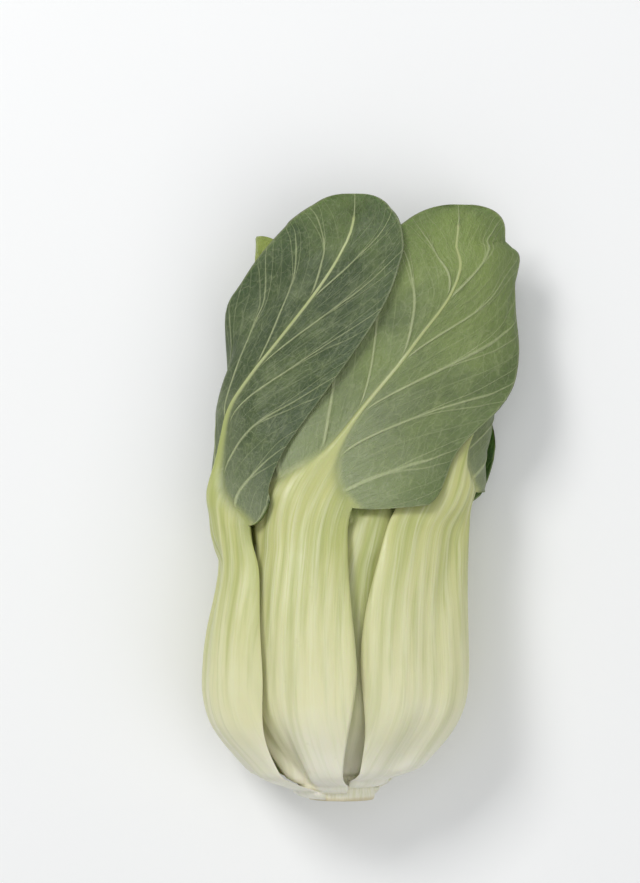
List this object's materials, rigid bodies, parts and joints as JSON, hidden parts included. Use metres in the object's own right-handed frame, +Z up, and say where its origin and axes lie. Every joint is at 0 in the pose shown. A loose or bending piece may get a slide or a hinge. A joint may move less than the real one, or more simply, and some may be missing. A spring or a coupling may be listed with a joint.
{
  "type": "bok choy head",
  "caption": "Whole head of bok choy lying on its side: broad pale stalks round a short stem, each with one green rounded blade.",
  "frame": {"origin": "middle of the head's footprint, on the surface that it lies on", "axes": "+Y from the cut stem to the leaf tips, +Z up"},
  "size_m": [0.131, 0.242, 0.0628],
  "materials": {
    "cut_stem": "matte",
    "stalk": "satin",
    "blade": "matte",
    "heart_blade": "matte"
  },
  "bodies": {
    "root": {"core": "cut_stem", "leaf_01_stalk": "stalk", "leaf_01_blade": "blade", "leaf_02_stalk": "stalk", "leaf_02_blade": "blade", "leaf_03_stalk": "stalk", "leaf_03_blade": "blade", "leaf_04_stalk": "stalk", "leaf_04_blade": "blade", "leaf_05_stalk": "stalk", "leaf_05_blade": "blade", "leaf_06_stalk": "stalk", "leaf_06_blade": "blade", "leaf_07_stalk": "stalk", "leaf_07_blade": "blade", "leaf_08_stalk": "stalk", "leaf_08_blade": "blade", "leaf_09_stalk": "stalk", "leaf_09_blade": "blade", "leaf_10_stalk": "stalk", "leaf_10_blade": "blade", "leaf_11_stalk": "stalk", "leaf_11_blade": "blade", "leaf_12_stalk": "stalk", "leaf_12_blade": "heart_blade", "leaf_13_stalk": "stalk", "leaf_13_blade": "heart_blade", "leaf_14_stalk": "stalk", "leaf_14_blade": "heart_blade"}
  },
  "joints": []
}
